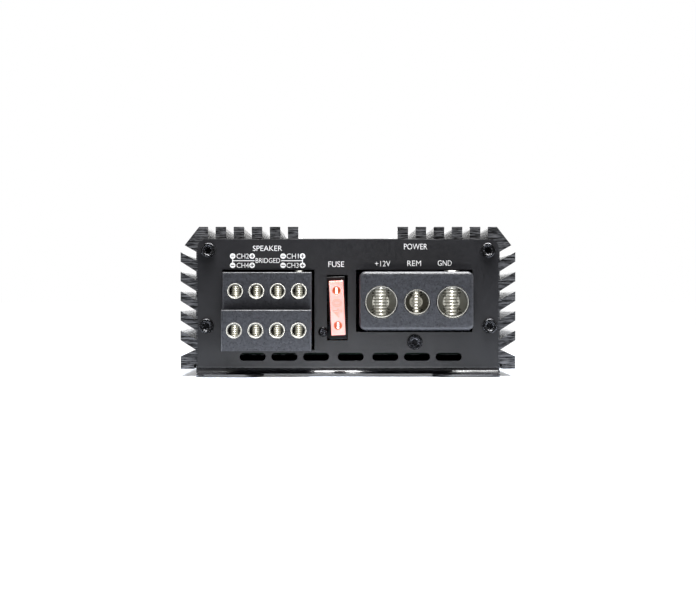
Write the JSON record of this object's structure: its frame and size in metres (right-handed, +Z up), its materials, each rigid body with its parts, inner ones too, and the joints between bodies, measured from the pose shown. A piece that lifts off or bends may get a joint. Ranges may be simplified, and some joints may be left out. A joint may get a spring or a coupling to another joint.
{
  "type": "car amplifier",
  "caption": "Compact finned car amplifier: extruded heatsink case, steel end plates, tiered speaker terminals, blade fuse, large clamp terminals and input sockets.",
  "frame": {"origin": "centre of the four mounting holes, level with the underside of the feet and the bottom plate", "axes": "+Z up, +X right as seen from the terminal end, which faces -Y"},
  "size_m": [0.118, 0.215, 0.0526],
  "materials": {
    "black_extrusion": "black anodised extrusion with sawn ends",
    "black_sheet": "black powder coat on steel sheet",
    "black_screws": "black oxide",
    "black_plastic": "moulded, finely textured",
    "nickel_plate": "bright nickel plate on machined brass",
    "plated_screws": "nickel-plated steel",
    "fuse_plastic": "clear tinted plastic",
    "fuse_metal": "bright tinned strip",
    "white_plastic": "glossy",
    "red_plastic": "glossy",
    "blue_lens": "diffused lens",
    "red_lens": "diffused lens",
    "laminate": "black solder mask on glass-fibre board",
    "bare_steel": "zinc-plated sheet",
    "ferrite": "dull",
    "copper_wire": "enamelled copper wire",
    "can_sleeve": "aluminium can in a dark sleeve",
    "epoxy": "moulded epoxy on a tinned tab",
    "silicone_pad": "filled silicone sheet"
  },
  "bodies": {
    "root": {"board_screws": "bare_steel", "bottom_plate": "black_sheet", "bottom_plate_screws": "black_screws", "circuit_board": "laminate", "clamp_bar_screws": "black_screws", "clamp_bars": "bare_steel", "control_cases": "black_plastic", "front_end_plate": "black_sheet", "front_plate_screws": "black_screws", "fuse_clips": "nickel_plate", "fuse_holder": "black_plastic", "fuse_holder_screw": "black_screws", "ground_bracket": "bare_steel", "ground_bracket_screw": "black_screws", "heatsink": "black_extrusion", "inductor_cores": "ferrite", "inductor_windings": "copper_wire", "input_capacitors": "can_sleeve", "input_centre_contacts": "nickel_plate", "input_sleeves": "nickel_plate", "input_socket_housing": "black_plastic", "insulating_pads": "silicone_pad", "left_input_inserts": "white_plastic", "power_lamp": "blue_lens", "power_terminal_contacts": "nickel_plate", "power_terminal_housing": "black_plastic", "power_transistors": "epoxy", "protect_lamp": "red_lens", "rail_capacitors": "can_sleeve", "rear_end_plate": "black_sheet", "rear_plate_screws": "black_screws", "remote_terminal_contact": "nickel_plate", "right_input_inserts": "red_plastic", "speaker_terminal_contacts": "nickel_plate", "speaker_terminal_housing": "black_plastic", "switch_cases": "bare_steel", "transformer_cores": "ferrite", "transformer_windings": "copper_wire"},
    "speaker_clamp_1": {"speaker_clamp_screw_1": "plated_screws"},
    "speaker_clamp_2": {"speaker_clamp_screw_2": "plated_screws"},
    "speaker_clamp_3": {"speaker_clamp_screw_3": "plated_screws"},
    "speaker_clamp_4": {"speaker_clamp_screw_4": "plated_screws"},
    "speaker_clamp_5": {"speaker_clamp_screw_5": "plated_screws"},
    "speaker_clamp_6": {"speaker_clamp_screw_6": "plated_screws"},
    "speaker_clamp_7": {"speaker_clamp_screw_7": "plated_screws"},
    "speaker_clamp_8": {"speaker_clamp_screw_8": "plated_screws"},
    "positive_clamp": {"positive_clamp_screw": "plated_screws"},
    "remote_clamp": {"remote_clamp_screw": "plated_screws"},
    "ground_clamp": {"ground_clamp_screw": "plated_screws"},
    "fuse": {"fuse_body": "fuse_plastic", "fuse_element": "fuse_metal"},
    "front_gain": {"front_gain_knob": "black_plastic"},
    "rear_gain": {"rear_gain_knob": "black_plastic"},
    "highpass": {"highpass_knob": "black_plastic"},
    "lowpass": {"lowpass_knob": "black_plastic"},
    "front_mode": {"front_mode_slider": "black_plastic"},
    "rear_mode": {"rear_mode_slider": "black_plastic"}
  },
  "joints": [
    {"name": "speaker_clamp_1_travel", "type": "slide", "parent": "root", "child": "speaker_clamp_1", "axis": [0, 0, 1], "range_m": [-0.0042, 0]},
    {"name": "speaker_clamp_2_travel", "type": "slide", "parent": "root", "child": "speaker_clamp_2", "axis": [0, 0, 1], "range_m": [-0.0042, 0]},
    {"name": "speaker_clamp_3_travel", "type": "slide", "parent": "root", "child": "speaker_clamp_3", "axis": [0, 0, 1], "range_m": [-0.0042, 0]},
    {"name": "speaker_clamp_4_travel", "type": "slide", "parent": "root", "child": "speaker_clamp_4", "axis": [0, 0, 1], "range_m": [-0.0051, 0]},
    {"name": "speaker_clamp_5_travel", "type": "slide", "parent": "root", "child": "speaker_clamp_5", "axis": [0, 0, 1], "range_m": [-0.0042, 0]},
    {"name": "speaker_clamp_6_travel", "type": "slide", "parent": "root", "child": "speaker_clamp_6", "axis": [0, 0, 1], "range_m": [-0.0042, 0]},
    {"name": "speaker_clamp_7_travel", "type": "slide", "parent": "root", "child": "speaker_clamp_7", "axis": [0, 0, 1], "range_m": [-0.0042, 0]},
    {"name": "speaker_clamp_8_travel", "type": "slide", "parent": "root", "child": "speaker_clamp_8", "axis": [0, 0, 1], "range_m": [-0.0042, 0]},
    {"name": "positive_clamp_travel", "type": "slide", "parent": "root", "child": "positive_clamp", "axis": [0, 0, 1], "range_m": [-0.0101, 0]},
    {"name": "remote_clamp_travel", "type": "slide", "parent": "root", "child": "remote_clamp", "axis": [0, 0, 1], "range_m": [-0.0081, 0]},
    {"name": "ground_clamp_travel", "type": "slide", "parent": "root", "child": "ground_clamp", "axis": [0, 0, 1], "range_m": [-0.0109, 0]},
    {"name": "fuse_pull", "type": "slide", "parent": "root", "child": "fuse", "axis": [0, -1, 0], "range_m": [0, 0.02]},
    {"name": "front_gain_turn", "type": "hinge", "parent": "root", "child": "front_gain", "pos_m": [0.0055, 0.095, 0.031], "axis": [0, 1, 0], "range_deg": [-140, 140]},
    {"name": "rear_gain_turn", "type": "hinge", "parent": "root", "child": "rear_gain", "pos_m": [-0.0075, 0.095, 0.031], "axis": [0, 1, 0], "range_deg": [-140, 140]},
    {"name": "highpass_turn", "type": "hinge", "parent": "root", "child": "highpass", "pos_m": [-0.0205, 0.095, 0.031], "axis": [0, 1, 0], "range_deg": [-140, 140]},
    {"name": "lowpass_turn", "type": "hinge", "parent": "root", "child": "lowpass", "pos_m": [-0.0335, 0.095, 0.031], "axis": [0, 1, 0], "range_deg": [-140, 140]},
    {"name": "front_mode_slide", "type": "slide", "parent": "root", "child": "front_mode", "axis": [1, 0, 0], "range_m": [-0.002, 0.002]},
    {"name": "rear_mode_slide", "type": "slide", "parent": "root", "child": "rear_mode", "axis": [1, 0, 0], "range_m": [-0.002, 0.002]}
  ]
}
